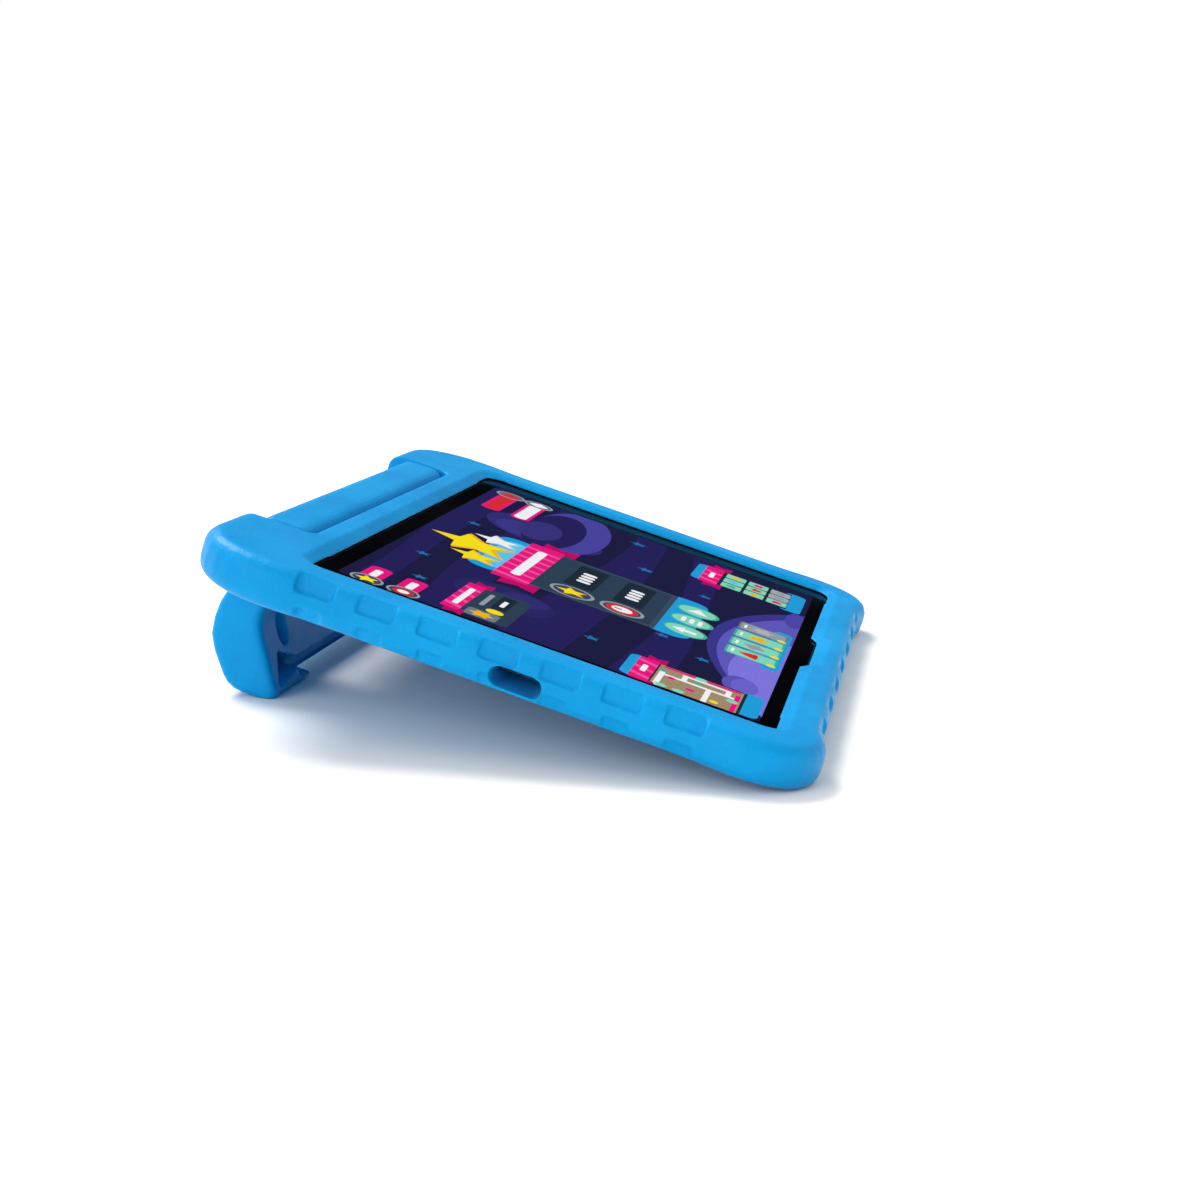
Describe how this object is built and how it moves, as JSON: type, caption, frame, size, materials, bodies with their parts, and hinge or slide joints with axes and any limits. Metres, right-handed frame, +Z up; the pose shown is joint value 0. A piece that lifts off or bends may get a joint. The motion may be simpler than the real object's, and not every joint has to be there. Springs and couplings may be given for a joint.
{
  "type": "kids toy tablet",
  "caption": "Child's tablet in a thick blue foam bumper, propped at a slant by a folding foam carrying handle that swings on a steel axle.",
  "frame": {"origin": "centre of the footprint, on the table the object stands on", "axes": "+X along the tablet's long side, +Y from the front edge towards the handle, +Z up"},
  "size_m": [0.28, 0.2018, 0.0606],
  "materials": {
    "foam": "satin",
    "axle_steel": "satin",
    "hinge_plastic": "matte",
    "washer_nylon": "matte",
    "screen_glass": "gloss",
    "display": "gloss",
    "frame_alloy": "satin",
    "cover_alloy": "satin",
    "battery_wrap": "matte",
    "moulded_black": "matte",
    "amber_film": "gloss",
    "circuit_board": "gloss",
    "shield_can": "satin",
    "port_steel": "satin",
    "camera_glass": "gloss",
    "key_plastic": "satin",
    "switch_metal": "satin",
    "screw_steel": "satin"
  },
  "bodies": {
    "tablet": {"antenna_left": "amber_film", "antenna_right": "amber_film", "battery_cable": "amber_film", "battery_cell_left": "battery_wrap", "battery_cell_right": "battery_wrap", "card_reader": "port_steel", "cover_glass": "screen_glass", "display_cable": "amber_film", "display_panel": "display", "ear_bush_left": "hinge_plastic", "ear_bush_right": "hinge_plastic", "foam_bumper": "foam", "frame_screw_1": "screw_steel", "frame_screw_2": "screw_steel", "frame_screw_3": "screw_steel", "frame_screw_4": "screw_steel", "frame_screw_5": "screw_steel", "frame_screw_6": "screw_steel", "front_camera": "moulded_black", "headphone_jack": "moulded_black", "hinge_axle": "axle_steel", "main_board": "circuit_board", "microphone": "shield_can", "mid_frame": "frame_alloy", "port_board": "circuit_board", "power_shield": "shield_can", "power_switch": "switch_metal", "processor_shield": "shield_can", "rear_camera": "moulded_black", "rear_camera_window": "camera_glass", "rear_cover": "cover_alloy", "speaker_left": "moulded_black", "speaker_right": "moulded_black", "usb_port": "port_steel", "vibration_motor": "shield_can", "volume_down_switch": "switch_metal", "volume_up_switch": "switch_metal", "wireless_shield": "shield_can"},
    "handle": {"foam_handle": "foam", "handle_tube": "hinge_plastic", "friction_washer_left": "washer_nylon", "friction_washer_right": "washer_nylon"},
    "power_key": {"power_button": "key_plastic"},
    "volume_key": {"volume_rocker": "key_plastic"}
  },
  "joints": [
    {"name": "handle_hinge", "type": "hinge", "parent": "tablet", "child": "handle", "pos_m": [0, 0.07809, 0.0509], "axis": [1, 0, 0], "range_deg": [0, 90]},
    {"name": "power_press", "type": "slide", "parent": "tablet", "child": "power_key", "axis": [-1, 0, 0], "range_m": [0, 0.0004], "stiffness_N_per_m": 1500},
    {"name": "volume_rock", "type": "hinge", "parent": "tablet", "child": "volume_key", "pos_m": [0.1232, 0.00512, 0.03109], "axis": [0, -0.2478, 0.9688], "range_deg": [-1.5, 1.5], "stiffness_Nm_per_rad": 2}
  ]
}
